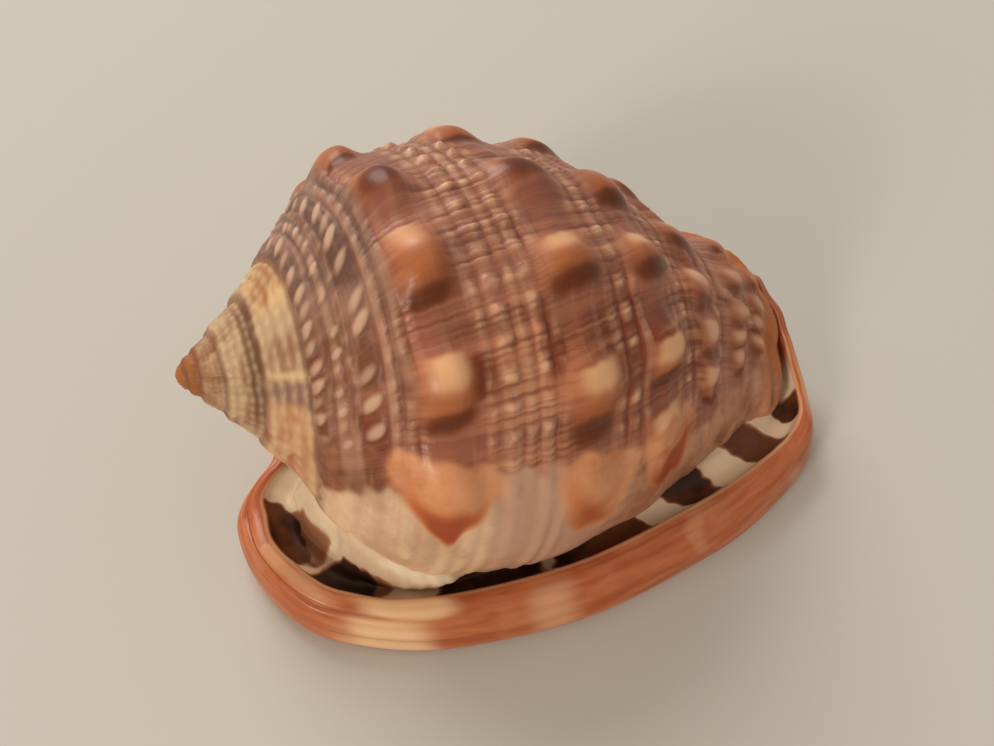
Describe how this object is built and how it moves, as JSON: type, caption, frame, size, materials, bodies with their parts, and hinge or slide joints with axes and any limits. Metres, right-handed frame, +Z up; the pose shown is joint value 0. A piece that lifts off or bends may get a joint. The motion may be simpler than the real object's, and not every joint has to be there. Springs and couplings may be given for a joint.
{
  "type": "helmet shell",
  "caption": "Large sea snail shell with knobbed whorls, a thick rolled rim, a toothed slit underneath and an upturned canal.",
  "frame": {"origin": "centre of the shell's bounding box in plan, on the surface that it rests on", "axes": "+X from the spire's tip towards the canal, +Z up from the aperture side, -Y towards the outer lip"},
  "size_m": [0.1394, 0.1016, 0.0807],
  "materials": {
    "shell_surface": "polished shell"
  },
  "bodies": {
    "root": {"shell": "shell_surface"}
  },
  "joints": []
}
